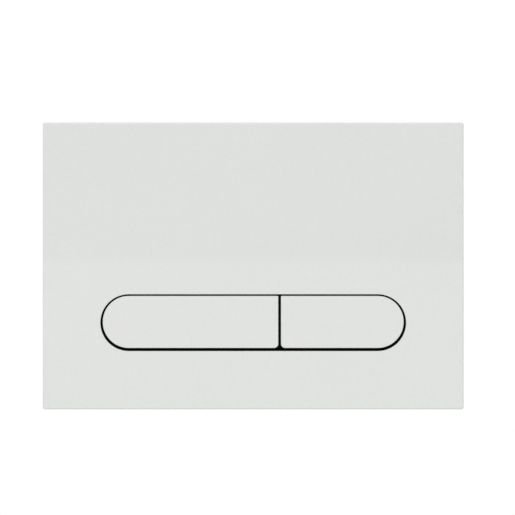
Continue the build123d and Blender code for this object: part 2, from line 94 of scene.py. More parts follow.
def scale_for(size_mm):
    """The texture Scale at which one patch of the pattern is about this many millimetres across."""
    return 1 / (size_mm * mm)


print("linear value of a mid grey:", [round(value, 3) for value in linear("#808080")])

# %% [markdown]
# Materials and geometry trees are both node trees, so one small function adds a node anywhere: it sets the
# node's own settings, links each input that is given a socket, and fills the others with plain values.

# %% One function that adds a node
def add_node(tree, kind, inputs=None, **settings):
    """Adds a node with its settings. An input is linked where it is given a socket, and otherwise set."""
    node = tree.nodes.new(kind)
    for name, value in settings.items():
        setattr(node, name, value)
    for name, value in (inputs or {}).items():
        if isinstance(value, bpy.types.NodeSocket):
            tree.links.new(value, node.inputs[name])
        else:
            node.inputs[name].default_value = value
    return node


def new_material(name):
    """An empty material and its node tree, ready for a shader."""
    material = bpy.data.materials.new(name)
    material.use_nodes = True
    material.node_tree.nodes.clear()
    return material, material.node_tree


def finish_material(material, shader):
    """Links the shader to the material's output."""
    add_node(material.node_tree, "ShaderNodeOutputMaterial", {"Surface": shader.outputs[0]})
    print("material:", material.name, "nodes:", len(material.node_tree.nodes))
    return material


# %% [markdown]
# The plate and the buttons are moulded ABS, a hard plastic that copies the polish of its mould. It looks
# like a pale cool white with a clean, tight reflection: the horizon of the room shows in it as a faint step
# of tone. The moulding isn't perfect, so the white drifts a little where the melt flowed, and the skin has a
# trace of ripple. A fine mottle of the pigment is too small to see at this distance, so it is drawn about
# ten times as coarse.

# %% Moulded white ABS
melt_flow_mm = 60
pigment_mottle_mm = 1.6
skin_ripple_mm = 9


def moulded_abs(name, pale, deep, roughness):
    """Polished white ABS: two near whites that drift into each other, and a slight ripple in the skin."""
    material, tree = new_material(name)
    place = add_node(tree, "ShaderNodeTexCoord").outputs["Object"]
    flow = add_node(
        tree, "ShaderNodeTexNoise", {"Vector": place, "Scale": scale_for(melt_flow_mm), "Detail": 2.0}
    )
    mottle = add_node(
        tree, "ShaderNodeTexNoise", {"Vector": place, "Scale": scale_for(pigment_mottle_mm), "Detail": 2.0}
    )
    drift = add_node(
        tree,
        "ShaderNodeMix",
        {"Factor": 0.6, "A": flow.outputs["Fac"], "B": mottle.outputs["Fac"]},
        data_type="FLOAT",
    )
    tint = add_node(
        tree,
        "ShaderNodeMix",
        {"Factor": drift.outputs["Result"], "A": linear(pale), "B": linear(deep)},
        data_type="RGBA",
    )
    ripple = add_node(
        tree, "ShaderNodeTexNoise", {"Vector": place, "Scale": scale_for(skin_ripple_mm), "Detail": 1.0}
    )
    bump = add_node(
        tree, "ShaderNodeBump", {"Height": ripple.outputs["Fac"], "Strength": 0.02, "Distance": 0.05 * mm}
    )
    shader = add_node(
        tree,
        "ShaderNodeBsdfPrincipled",
        {
            "Base Color": tint.outputs["Result"],
            "Roughness": roughness,
            "IOR": 1.53,
            "Normal": bump.outputs["Normal"],
        },
    )
    return finish_material(material, shader)


plate_abs = moulded_abs("moulded_abs_plate", pale="#E3E6E3", deep="#D9DCD9", roughness=0.016)
button_abs = moulded_abs("moulded_abs_buttons", pale="#E4E6E3", deep="#DADDDA", roughness=0.018)

# %% [markdown]
# The frame behind the plate is black polypropylene from a mould with a spark-eroded surface. To the eye that
# is a dull, finely pitted black. Real pits are about a tenth of a millimetre, too fine to show here, so they
# are drawn at 0.6 mm. A slow cloud of gloss over them keeps large faces from looking like flat paint.

# %% Black polypropylene
mould_pits_mm = 0.6
gloss_cloud_mm = 25


def pitted_polypropylene(name, dark, worn):
    """Matt black polypropylene with the fine pits of a spark-eroded mould."""
    material, tree = new_material(name)
    place = add_node(tree, "ShaderNodeTexCoord").outputs["Object"]
    pits = add_node(
        tree, "ShaderNodeTexNoise", {"Vector": place, "Scale": scale_for(mould_pits_mm), "Detail": 3.0}
    )
    cloud = add_node(
        tree, "ShaderNodeTexNoise", {"Vector": place, "Scale": scale_for(gloss_cloud_mm), "Detail": 3.0}
    )
    tint = add_node(
        tree,
        "ShaderNodeMix",
        {"Factor": cloud.outputs["Fac"], "A": linear(dark), "B": linear(worn)},
        data_type="RGBA",
    )
    gloss = add_node(
        tree, "ShaderNodeMapRange", {"Value": cloud.outputs["Fac"], "To Min": 0.42, "To Max": 0.6}
    )
    bump = add_node(
        tree, "ShaderNodeBump", {"Height": pits.outputs["Fac"], "Strength": 0.35, "Distance": 0.08 * mm}
    )
    shader = add_node(
        tree,
        "ShaderNodeBsdfPrincipled",
        {
            "Base Color": tint.outputs["Result"],
            "Roughness": gloss.outputs["Result"],
            "IOR": 1.49,
            "Normal": bump.outputs["Normal"],
        },
    )
    return finish_material(material, shader)


frame_polypropylene = pitted_polypropylene("pitted_black_polypropylene", dark="#1B1C1E", worn="#2A2C2E")

# %% [markdown]
# The push rods, their heads and the hand nuts are natural acetal, a slippery engineering plastic. It is a
# milky white that lets a little light in, so its edges look soft, and its skin is smooth but not polished.
# The scuffs that handling leaves are drawn at 0.8 mm, several times their real size, so that they show.

# %% Natural acetal
milk_cloud_mm = 7
handling_scuff_mm = 0.8


def natural_acetal(name, milk, shade):
    """Milky acetal: light spreads a little way under the skin."""
    material, tree = new_material(name)
    place = add_node(tree, "ShaderNodeTexCoord").outputs["Object"]
    cloud = add_node(
        tree, "ShaderNodeTexNoise", {"Vector": place, "Scale": scale_for(milk_cloud_mm), "Detail": 2.0}
    )
    tint = add_node(
        tree,
        "ShaderNodeMix",
        {"Factor": cloud.outputs["Fac"], "A": linear(milk), "B": linear(shade)},
        data_type="RGBA",
    )
    scuff = add_node(
        tree, "ShaderNodeTexNoise", {"Vector": place, "Scale": scale_for(handling_scuff_mm), "Detail": 2.0}
    )
    gloss = add_node(
        tree, "ShaderNodeMapRange", {"Value": scuff.outputs["Fac"], "To Min": 0.28, "To Max": 0.42}
    )
    bump = add_node(
        tree, "ShaderNodeBump", {"Height": scuff.outputs["Fac"], "Strength": 0.1, "Distance": 0.03 * mm}
    )
    shader = add_node(
        tree,
        "ShaderNodeBsdfPrincipled",
        {
            "Base Color": tint.outputs["Result"],
            "Roughness": gloss.outputs["Result"],
            "IOR": 1.48,
            "Subsurface Weight": 0.15,
            "Subsurface Radius": (1.5 * mm, 1.4 * mm, 1.2 * mm),
            "Subsurface Scale": 1.0,
            "Normal": bump.outputs["Normal"],
        },
    )
    return finish_material(material, shader)


acetal = natural_acetal("natural_acetal", milk="#ECE9E0", shade="#E2DED3")

# %% [markdown]
# Studs, washers and screws are zinc-plated steel, and the hinge pins, clips and leaf springs are stainless
# steel. Zinc plate is a bright grey with cloudy patches. Rolled stainless steel has fine lines along the way
# it was rolled, which a noise stretched along one axis gives. Those lines are a few hundredths of a
# millimetre apart, so they are drawn at a quarter of a millimetre to show at all.

# %% Two steels
zinc_cloud_mm = 2.5
rolling_line_mm = 0.25
rolling_length_mm = 25


def plated_zinc(name, bright, cloudy):
    """Zinc plate on steel: bright metal with soft cloudy patches."""
    material, tree = new_material(name)
    place = add_node(tree, "ShaderNodeTexCoord").outputs["Object"]
    cloud = add_node(
        tree, "ShaderNodeTexNoise", {"Vector": place, "Scale": scale_for(zinc_cloud_mm), "Detail": 4.0}
    )
    tint = add_node(
        tree,
        "ShaderNodeMix",
        {"Factor": cloud.outputs["Fac"], "A": linear(bright), "B": linear(cloudy)},
        data_type="RGBA",
    )
    gloss = add_node(
        tree, "ShaderNodeMapRange", {"Value": cloud.outputs["Fac"], "To Min": 0.2, "To Max": 0.42}
    )
    shader = add_node(
        tree,
        "ShaderNodeBsdfPrincipled",
        {"Base Color": tint.outputs["Result"], "Metallic": 1.0, "Roughness": gloss.outputs["Result"]},
    )
    return finish_material(material, shader)


def rolled_stainless(name, bright, dull, along):
    """Stainless steel with rolling lines: a noise that is stretched a hundred times along one axis."""
    material, tree = new_material(name)
    place = add_node(tree, "ShaderNodeTexCoord").outputs["Object"]
    fine, long_way = scale_for(rolling_line_mm), scale_for(rolling_length_mm)
    stretch = [long_way if axis == along else fine for axis in "XYZ"]
    stretched = add_node(tree, "ShaderNodeMapping", {"Vector": place, "Scale": stretch}).outputs["Vector"]
    lines = add_node(tree, "ShaderNodeTexNoise", {"Vector": stretched, "Scale": 1.0, "Detail": 2.0})
    tint = add_node(
        tree,
        "ShaderNodeMix",
        {"Factor": lines.outputs["Fac"], "A": linear(bright), "B": linear(dull)},
        data_type="RGBA",
    )
    gloss = add_node(
        tree, "ShaderNodeMapRange", {"Value": lines.outputs["Fac"], "To Min": 0.18, "To Max": 0.4}
    )
    bump = add_node(
        tree, "ShaderNodeBump", {"Height": lines.outputs["Fac"], "Strength": 0.15, "Distance": 0.01 * mm}
    )
    shader = add_node(
        tree,
        "ShaderNodeBsdfPrincipled",
        {
            "Base Color": tint.outputs["Result"],
            "Metallic": 1.0,
            "Roughness": gloss.outputs["Result"],
            "Normal": bump.outputs["Normal"],
        },
    )
    return finish_material(material, shader)


zinc_plate = plated_zinc("zinc_plated_steel", bright="#C6C8C9", cloudy="#9A9EA1")
pin_steel = rolled_stainless("drawn_stainless_steel", bright="#B4B6B8", dull="#94979A", along="X")
spring_steel = rolled_stainless("rolled_spring_steel", bright="#B8BABB", dull="#96999C", along="Z")

# %% [markdown]
# The bumpers that quieten the buttons are black rubber. It hardly shines, and its skin is slightly grainy
# and a touch paler where it was handled. The grain is drawn at half a millimetre, coarser than it is. The
# sheets behind the gaps get a second black rubber that is painted shade: a lower specular level and a deeper
# black, so that the gaps stay dark.

# %% Black rubber
rubber_grain_mm = 0.5


def matt_rubber(name, black, bloom, shine):
    """Matt rubber with a grainy skin and a faint pale bloom."""
    material, tree = new_material(name)
    place = add_node(tree, "ShaderNodeTexCoord").outputs["Object"]
    grain = add_node(
        tree, "ShaderNodeTexNoise", {"Vector": place, "Scale": scale_for(rubber_grain_mm), "Detail": 3.0}
    )
    tint = add_node(
        tree,
        "ShaderNodeMix",
        {"Factor": grain.outputs["Fac"], "A": linear(black), "B": linear(bloom)},
        data_type="RGBA",
    )
    bump = add_node(
        tree, "ShaderNodeBump", {"Height": grain.outputs["Fac"], "Strength": 0.3, "Distance": 0.06 * mm}
    )
    shader = add_node(
        tree,
        "ShaderNodeBsdfPrincipled",
        {
            "Base Color": tint.outputs["Result"],
            "Roughness": 0.75,
            "IOR": 1.52,
            "Specular IOR Level": shine,
            "Normal": bump.outputs["Normal"],
        },
    )
    return finish_material(material, shader)


rubber = matt_rubber("matt_black_rubber", black="#151516", bloom="#222223", shine=0.5)
# The second rubber is painted shade for the sheets behind the gaps: a deeper black with almost no shine.
shade_sheet_rubber = matt_rubber("gap_shade_black_rubber", black="#080808", bloom="#111112", shine=0.08)

# %% [markdown]
# A solid arrives as loose triangles with flat shading, so a round part shows its facets. Each solid is
# therefore copied, its corners are merged, and the triangles of a flat face become one face. Then a Bevel
# modifier eases the edges that a real moulding or turned part has, and a Weighted Normal modifier keeps big
# flat faces flat beside small rounded ones.

# %% A dressed copy of a solid
weld_distance = 0.002 * mm
flat_angle = math.radians(0.5)
sharp_angle = math.radians(32)


def add_object(name, mesh):
    """Puts a mesh in the scene as an object at the origin."""
    piece = bpy.data.objects.new(name, mesh)
    bpy.context.scene.collection.objects.link(piece)
    return piece


def bake_modifiers(piece):
    """Makes the piece's modifiers part of a plain mesh, and removes them."""
    evaluated = piece.evaluated_get(bpy.context.evaluated_depsgraph_get())
    baked = bpy.data.meshes.new_from_object(evaluated)
    piece.modifiers.clear()
    piece.data = baked
    return piece


def welded_mesh(name, mesh):
    """A copy of a mesh with the doubled corners merged and flat faces made whole."""
    shape = bmesh.new()
    shape.from_mesh(mesh)
    bmesh.ops.remove_doubles(shape, verts=shape.verts, dist=weld_distance)
    bmesh.ops.dissolve_limit(shape, angle_limit=flat_angle, verts=shape.verts, edges=shape.edges)
    welded = bpy.data.meshes.new(name)
    shape.to_mesh(welded)
    shape.free()
    for layer in ("custom_normal", "sharp_face", "sharp_edge"):
        if layer in welded.attributes:
            welded.attributes.remove(welded.attributes[layer])
    return welded


def smooth_shading(piece, eased_edge=0.0):
    """Eases the sharp edges by this much, and shades the rest smoothly."""
    if eased_edge:
        bevel = piece.modifiers.new("eased_edges", "BEVEL")
        bevel.width = eased_edge
        bevel.segments = 2
        bevel.limit_method = "ANGLE"
        bevel.angle_limit = sharp_angle
    bake_modifiers(piece)
    piece.data.shade_smooth()
    piece.data.set_sharp_from_angle(angle=sharp_angle)
    weighted = piece.modifiers.new("weighted_normals", "WEIGHTED_NORMAL")
    weighted.keep_sharp = True
    return bake_modifiers(piece)


def dress(node, material, eased_edge=0.0):
    """A smooth copy of a solid, in its own material."""
    piece = add_object(f"{node}_dressed", welded_mesh(f"{node}_dressed", frame["nodes"][node].data))
    smooth_shading(piece, eased_edge)
    piece.data.materials.clear()
    piece.data.materials.append(material)
    return piece


def settle(piece, body, slot, *nodes):
    """Lets a piece ride on its body, and hides the solids that it stands for. slot is not used."""
    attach(piece, body)
    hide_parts(*nodes)
    print(piece.name, "faces:", len(piece.data.polygons), "rides on:", body)


def stand_in(node, material, body, slot, eased_edge=0.0):
    """Puts a dressed copy of a solid in its place."""
    settle(dress(node, material, eased_edge), body, slot, node)


# %% [markdown]
# The cover, the buttons and the frame keep the edges of their solids, because the CAD model already rounds
# or bevels the ones that show. Each button is a white cap on a black carrier, which has the hinge ears and a
# lip that closes the view through the gap above it.

# %% Cover plate, buttons and frame
stand_in("cover_plate", plate_abs, "plate", "white_abs")
stand_in("mounting_frame", frame_polypropylene, "plate", "black_polypropylene")
for button in button_names:
    body = f"{button}_button"
    stand_in(f"{button}_button", button_abs, body, "button_abs")
    stand_in(f"{button}_carrier", frame_polypropylene, body, "black_polypropylene", eased_edge=0.12 * mm)
    stand_in(f"{button}_bumpers", rubber, body, "black_rubber", eased_edge=0.15 * mm)

# %% [markdown]
# A thin black sheet runs along each button's edge, just behind the collar of the cover. It is painted shade:
# it closes the view through the gap, so that the gap stays one dark line from the side as well. It reaches
# further out below, where a pressed button swings back. Its edge is a third of a millimetre thick, too thin
# for the solids. A profile swept along a curve would pinch at the sharp corners beside the divide. So the
# sheet is a row of stations round the button: each has the same small L-shaped section, and plain faces join
# it to the next, with true corners.

# %% Black sheets of painted shade behind the gaps
shade_sheet_thickness = 0.3 * mm
shade_sheet_foot_depth = 1.75 * mm
shade_sheet_end_lap = 1.6 * mm
reach_names = ("reach", "low_reach", "divide_reach")
foot_inner = dict.fromkeys(reach_names, -1.65 * mm)
foot_outer = dict.fromkeys(reach_names, -0.1 * mm)
shade_sheet_edge = {"reach": 1.8 * mm, "low_reach": 4.6 * mm, "divide_reach": 0.6 * mm}
low_from = 0.3
arc_steps = 32


def shade_sheet_line(low, high, side, reach, low_reach, divide_reach):
    """(x, z) points at these reaches from a button's edge. side is +1 where the divide is on the right."""
    round_x, divide_x = (low.x, high.x) if side > 0 else (high.x, low.x)
    radius = (high.z - low.z) / 2
    centre_x, centre_z = round_x + side * radius, (high.z + low.z) / 2
    points = [(centre_x + side * shade_sheet_end_lap, high.z + reach)]
    for step in range(arc_steps + 1):
        turn = math.pi * step / arc_steps
        out_x, out_z = -side * math.sin(turn), math.cos(turn)
        lowness = min(1, max(0, low_from - out_z))
        out = radius + reach + (low_reach - reach) * lowness
        points.append((centre_x + out * out_x, centre_z + out * out_z))
    corner_x = divide_x + side * divide_reach
    points += [(corner_x, low.z - low_reach), (corner_x, high.z + reach)]
    points.append((divide_x - side * (shade_sheet_end_lap - foot_inner["reach"]), high.z + reach))
    return points


def gap_shade_sheet(button, side):
    """One button's black sheet of painted shade as a closed mesh: a foot on the button's rim, and a thin edge
    that stands out.
    """
    low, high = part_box(f"{button}_button")
    lines = (foot_inner, foot_outer, shade_sheet_edge)
    inner, foot, edge = [shade_sheet_line(low, high, side, **line) for line in lines]
    rear_y = high.y + shade_sheet_foot_depth
    step_y = rear_y - shade_sheet_thickness
    section = [(inner, high.y), (inner, rear_y), (edge, rear_y), (edge, step_y)]
    section += [(foot, step_y), (foot, high.y)]
    shape = bmesh.new()
    stations = []
    for station in range(len(inner)):
        stations.append([shape.verts.new((line[station][0], y, line[station][1])) for line, y in section])
    for first, second in zip(stations, stations[1:]):
        for corner in range(len(section)):
            shape.faces.new((first[corner - 1], first[corner], second[corner], second[corner - 1]))
    shape.faces.new(stations[0])
    shape.faces.new(stations[-1])
    bmesh.ops.recalc_face_normals(shape, faces=shape.faces)
    mesh = bpy.data.meshes.new(f"{button}_gap_shade_sheet")
    shape.to_mesh(mesh)
    shape.free()
    mesh.materials.append(shade_sheet_rubber)
    return smooth_shading(add_object(f"{button}_gap_shade_sheet", mesh))


# Each button carries a black sheet of painted shade behind its gap.
for button, side in zip(button_names, (1, -1)):
    shade_sheet = gap_shade_sheet(button, side)
    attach(shade_sheet, f"{button}_button")
    print(shade_sheet.name, "faces:", len(shade_sheet.data.polygons))

# %% [markdown]
# Small parts come out of their tools with eased edges, and those edges catch the light. The Bevel modifier
# gives each one the width that its way of making leaves: more on a moulded nut than on a stamped washer.

# %% Small turned, stamped and moulded parts
stand_in("fixing_washers", zinc_plate, "plate", "zinc_steel", eased_edge=0.12 * mm)
stand_in("fixing_nuts", acetal, "plate", "acetal", eased_edge=0.35 * mm)
for button in button_names:
    stand_in(f"{button}_hinge_pin", pin_steel, "plate", "stainless_steel", eased_edge=0.2 * mm)
    stand_in(f"{button}_pin_clip", pin_steel, "plate", "stainless_steel", eased_edge=0.1 * mm)
    stand_in(f"{button}_rod_head", acetal, f"{button}_rod", "acetal", eased_edge=0.25 * mm)
    stand_in(f"{button}_rod_locknut", acetal, f"{button}_rod", "acetal", eased_edge=0.25 * mm)

# %% [markdown]
# A leaf spring bends when its button is pressed: the top stays with the plate and the tip follows the
# button. A flat strip has no corners along its length, so it is cut across many times, which gives a bend
# the corners it needs.

# %% Return springs
spring_cuts = 40


def slice_along_z(mesh, cuts):
    """Cuts a mesh across at even heights, so that it can bend."""
    shape = bmesh.new()
    shape.from_mesh(mesh)
    heights = [vertex.co.z for vertex in shape.verts]
    low, high = min(heights), max(heights)
    for step in range(1, cuts):
        height = low + (high - low) * step / cuts
        whole = shape.verts[:] + shape.edges[:] + shape.faces[:]
        bmesh.ops.bisect_plane(shape, geom=whole, plane_co=(0, 0, height), plane_no=(0, 0, 1))
    shape.to_mesh(mesh)
    shape.free()


for button in button_names:
    spring_node = f"{button}_return_spring"
    spring = dress(spring_node, spring_steel)
    slice_along_z(spring.data, spring_cuts)
    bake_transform(spring)
    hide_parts(spring_node)
    print(spring.name, "faces:", len(spring.data.polygons))

# %% [markdown]
# Threads repeat by a rule, so Geometry Nodes make them. Each tree takes its sizes by name, lays its shape
# along Y, and repeats it along a row of points, because studs, screws and marks come in even rows.

# %% How a geometry tree starts and ends
row_inputs = {"Start": "Vector", "Spacing": "Vector", "Count": "Int", "Material": "Material"}
along_y = (-math.pi / 2, 0, 0)


def new_tree(name, sizes):
    """A geometry tree with one named input for each size. Returns the tree and its inputs' sockets."""
    tree = bpy.data.node_groups.new(name, "GeometryNodeTree")
    for size, kind in {**sizes, **row_inputs}.items():
        tree.interface.new_socket(size, in_out="INPUT", socket_type=f"NodeSocket{kind}")
    tree.interface.new_socket("Geometry", in_out="OUTPUT", socket_type="NodeSocketGeometry")
    return tree, add_node(tree, "NodeGroupInput").outputs


def repeat_and_finish(tree, shape, given):
    """Ends a tree: lays the shape along +Y, repeats it in a row, makes it real and gives it the material."""
    laid = add_node(tree, "GeometryNodeTransform", {"Geometry": shape, "Rotation": along_y})
    row = add_node(
        tree,
        "GeometryNodeMeshLine",
        {"Count": given["Count"], "Start Location": given["Start"], "Offset": given["Spacing"]},
    )
    copies = add_node(
        tree,
        "GeometryNodeInstanceOnPoints",
        {"Points": row.outputs["Mesh"], "Instance": laid.outputs["Geometry"]},
    )
    real = add_node(tree, "GeometryNodeRealizeInstances", {"Geometry": copies.outputs["Instances"]})
    painted = add_node(
        tree,
        "GeometryNodeSetMaterial",
        {"Geometry": real.outputs["Geometry"], "Material": given["Material"]},
    )
    add_node(tree, "NodeGroupOutput", {"Geometry": painted.outputs["Geometry"]})
    print("tree:", tree.name, "nodes:", len(tree.nodes))
    return tree


# %% [markdown]
# A thread is a ridge that climbs round a plain core. A spiral curve carries a small four-sided profile, whose
# corners are given as shares of the thread's depth and pitch. The ridge starts and ends half a pitch short of
# the core, so that it stays within the bar's length.

# %% A tree that makes screw threads
ridge_corners = ((-0.3, -0.46, 0), (1, -0.1, 0), (1, 0.1, 0), (-0.3, 0.46, 0))
points_per_turn = 20
round_sides = 40


def thread_tree():
    """A plain core, and a ridge that climbs round it."""
    sizes = {"Radius": "Float", "Pitch": "Float", "Depth": "Float", "Length": "Float"}
    tree, given = new_tree("screw_thread", sizes)
    core_radius, climb = [
        add_node(tree, "ShaderNodeMath", {0: whole, 1: part}, operation="SUBTRACT").outputs[0]
        for whole, part in ((given["Radius"], given["Depth"]), (given["Length"], given["Pitch"]))
    ]
    turns = add_node(tree, "ShaderNodeMath", {0: climb, 1: given["Pitch"]}, operation="DIVIDE")
    spiral = add_node(
        tree,
        "GeometryNodeCurveSpiral",
        {
            "Resolution": points_per_turn,
            "Rotations": turns.outputs[0],
            "Start Radius": core_radius,
            "End Radius": core_radius,
            "Height": climb,
        },
    )
    upright = add_node(tree, "GeometryNodeSetCurveNormal", {"Curve": spiral.outputs["Curve"]}, mode="Z_UP")
    ridge_size = add_node(tree, "ShaderNodeCombineXYZ", {"X": given["Depth"], "Y": given["Pitch"]})
    points = {}
    for number, shares in enumerate(ridge_corners, start=1):
        corner = {0: ridge_size.outputs["Vector"], 1: shares}
        point = add_node(tree, "ShaderNodeVectorMath", corner, operation="MULTIPLY")
        points[f"Point {number}"] = point.outputs["Vector"]
    profile = add_node(tree, "GeometryNodeCurvePrimitiveQuadrilateral", points, mode="POINTS")
    ridge = add_node(
        tree,
        "GeometryNodeCurveToMesh",
        {"Curve": upright.outputs["Curve"], "Profile Curve": profile.outputs["Curve"], "Fill Caps": True},
    )
    core = add_node(
        tree,
        "GeometryNodeMeshCylinder",
        {"Vertices": round_sides, "Radius": core_radius, "Depth": given["Length"]},
    )
    both = add_node(tree, "GeometryNodeJoinGeometry")
    for shape, size in ((ridge, given["Pitch"]), (core, given["Length"])):
        half = add_node(tree, "ShaderNodeMath", {0: size, 1: 0.5}, operation="MULTIPLY")
        lift = add_node(tree, "ShaderNodeCombineXYZ", {"Z": half.outputs[0]})
        place = {"Geometry": shape.outputs["Mesh"], "Translation": lift.outputs["Vector"]}
        lifted = add_node(tree, "GeometryNodeTransform", place)
        tree.links.new(lifted.outputs["Geometry"], both.inputs["Geometry"])
    return repeat_and_finish(tree, both.outputs["Geometry"], given)


screw_thread = thread_tree()

# %% [markdown]
# A tree becomes a piece through a modifier on an empty mesh. The modifier's inputs are set by their
# identifiers, the result is taken as a plain mesh, and faces that the spiral turned inside out are made to
# point outwards again.

# %% Plain meshes from a tree
def mesh_from(tree, name, material, **sizes):
    """Runs a tree with these sizes and returns the result as a plain mesh."""
    carrier = add_object(name, bpy.data.meshes.new(name))
    modifier = carrier.modifiers.new(tree.name, "NODES")
    modifier.node_group = tree
    wanted = {"Material": material, "Count": 1, "Spacing": (0, 0, 0), **sizes}
    for item in tree.interface.items_tree:
        if item.in_out == "INPUT":
            modifier[item.identifier] = wanted[item.name]
    bake_modifiers(carrier)
    mesh = carrier.data
    bpy.data.objects.remove(carrier)
    shape = bmesh.new()
    shape.from_mesh(mesh)
    bmesh.ops.recalc_face_normals(shape, faces=shape.faces)
    shape.to_mesh(mesh)
    shape.free()
    print(name, "faces:", len(mesh.polygons))
    return mesh


def smooth_mesh(mesh, eased_edge=0.0):
    """Smooths a mesh by way of an object that is then removed."""
    piece = smooth_shading(add_object(mesh.name, mesh), eased_edge)
    smoothed = piece.data
    bpy.data.objects.remove(piece)
    return smoothed


def join_meshes(name, material, meshes):
    """One object from several meshes that share a material."""
    shape = bmesh.new()
    for mesh in meshes:
        shape.from_mesh(mesh)
    joined = bpy.data.meshes.new(name)
    shape.to_mesh(joined)
    shape.free()
    joined.materials.append(material)
    return add_object(name, joined)


# %% [markdown]
# Each fixing stud is a steel bar with a coarse metric thread at the back for the cistern, a finer one in
# front for the hand nut, and a hexagon collar between them that a spanner turns. The collars are six-sided
# prisms from a second small tree, so that one set of sizes drives both studs. The real threads climb 1 mm and
# 0.8 mm a turn, which is too fine to show in a picture of the whole plate, so they are drawn about twice as
# coarse.

# %% Fixing studs
def prism_tree():
    """An even-sided prism."""
    tree, given = new_tree("turned_prism", {"Sides": "Int", "Radius": "Float", "Length": "Float"})
    prism = add_node(
        tree,
        "GeometryNodeMeshCylinder",
        {"Vertices": given["Sides"], "Radius": given["Radius"], "Depth": given["Length"]},
    )
    return repeat_and_finish(tree, prism.outputs["Mesh"], given)


rear_radius = mounts["fixing_studs"]["dims"]["stud_r_mm"] * mm
front_radius = 2.5 * mm
collar_rear_y = mounts["fixing_studs"]["pos_m"][1]
collar_length = 2.8 * mm
collar_radius = studs_high.x - stud_pitch / 2
collar_ease = 0.3 * mm
left_stud_x = -stud_pitch / 2
stud_row = {"Count": 2, "Spacing": (stud_pitch, 0, 0)}
rear_thread = mesh_from(
    screw_thread, "stud_rear_thread", zinc_plate,
    Radius=rear_radius, Pitch=2.1 * mm, Depth=0.8 * mm, Length=studs_high.y - collar_rear_y,
    Start=(left_stud_x, collar_rear_y, 0), **stud_row,
)
front_thread = mesh_from(
    screw_thread, "stud_front_thread", zinc_plate,
    Radius=front_radius, Pitch=1.7 * mm, Depth=0.65 * mm, Length=collar_rear_y - studs_low.y,
    Start=(left_stud_x, studs_low.y, 0), **stud_row,
)
collars = mesh_from(
    prism_tree(), "stud_collars", zinc_plate,
    Sides=6, Radius=collar_radius, Length=collar_length,
    Start=(left_stud_x, collar_rear_y - collar_length / 2, 0), **stud_row,
)
stud_meshes = [rear_thread, front_thread, smooth_mesh(collars, collar_ease)]
studs = join_meshes("fixing_studs_threaded", zinc_plate, stud_meshes)
settle(studs, "plate", "zinc_steel", "fixing_studs")

# %% [markdown]
# A push rod carries the push to the valve. Its front is threaded, so that the head can be screwed along it to
# set the length, and its slim rear end is plain, with shallow rings that show where it may be cut shorter.
# The plain end is a profile that is spun round the rod's axis. The rings are drawn deeper and the thread
# coarser than on a real rod, so that both show.

# %% Push rods
ring_spacing = 5 * mm
ring_depth = 0.5 * mm
tip_chamfer = 0.6 * mm


def spun_rod(name, axis_point, outline):
    """Spins an outline of (distance along Y, radius) pairs round an axis along Y."""
    shape = bmesh.new()
    corners = [shape.verts.new(axis_point + Vector((radius, along, 0))) for along, radius in outline]
    edges = [shape.edges.new(pair) for pair in zip(corners, corners[1:])]
    bmesh.ops.spin(
        shape, geom=corners + edges, cent=axis_point, axis=(0, 1, 0),
        angle=2 * math.pi, steps=round_sides, use_duplicate=False,
    )
    bmesh.ops.remove_doubles(shape, verts=shape.verts, dist=weld_distance)
    bmesh.ops.recalc_face_normals(shape, faces=shape.faces)
    mesh = bpy.data.meshes.new(name)
    shape.to_mesh(mesh)
    shape.free()
    return mesh


def ringed_tip(length, radius):
    """The outline of the plain end: a ring at each step of the spacing, and a bevelled tip."""
    outline = [(0, 0), (0, radius)]
    for step in range(1, int((length - tip_chamfer) / ring_spacing) + 1):
        middle = step * ring_spacing
        dip = [(middle - ring_depth, radius), (middle, radius - ring_depth), (middle + ring_depth, radius)]
        outline += dip
    return outline + [(length - tip_chamfer, radius), (length, radius - tip_chamfer), (length, 0)]


for button in button_names:
    rod_low, rod_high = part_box(f"{button}_push_rod")
    tip = mounts[f"{button}_rod_tip"]["dims"]
    step_y = rod_high.y - tip["length_mm"] * mm - tip_chamfer
    rod_axis = Vector(((rod_low.x + rod_high.x) / 2, 0, (rod_low.z + rod_high.z) / 2))
    thread = mesh_from(
        screw_thread, f"{button}_rod_thread", acetal,
        Radius=(rod_high.x - rod_low.x) / 2, Pitch=2.2 * mm, Depth=0.75 * mm, Length=step_y - rod_low.y,
        Start=rod_axis + Vector((0, rod_low.y, 0)),
    )
    tip_outline = ringed_tip(rod_high.y - step_y, tip["r_mm"] * mm)
    plain_end = spun_rod(f"{button}_rod_end", rod_axis + Vector((0, step_y, 0)), tip_outline)
    rod = join_meshes(f"{button}_push_rod_threaded", acetal, [thread, smooth_mesh(plain_end)])
    settle(rod, f"{button}_rod", "acetal", f"{button}_push_rod")

# %% [markdown]
# The two screws that hold the leaf springs have domed pan heads with a cross recess. A tree makes one head, a
# short round wall under a flattened ball, and a Mesh Boolean node cuts the cross out of it. Both screws are
# then placed at once, each on its spring.

# %% Spring screws
head_height = 1.9 * mm
shank_radius = 1.2 * mm
wall_share = 0.45
recess_length_share = 1.15
recess_width_share = 0.24
head_sides = 48
shank_sides = 24
quarter_turn = (0, 0, math.pi / 2)


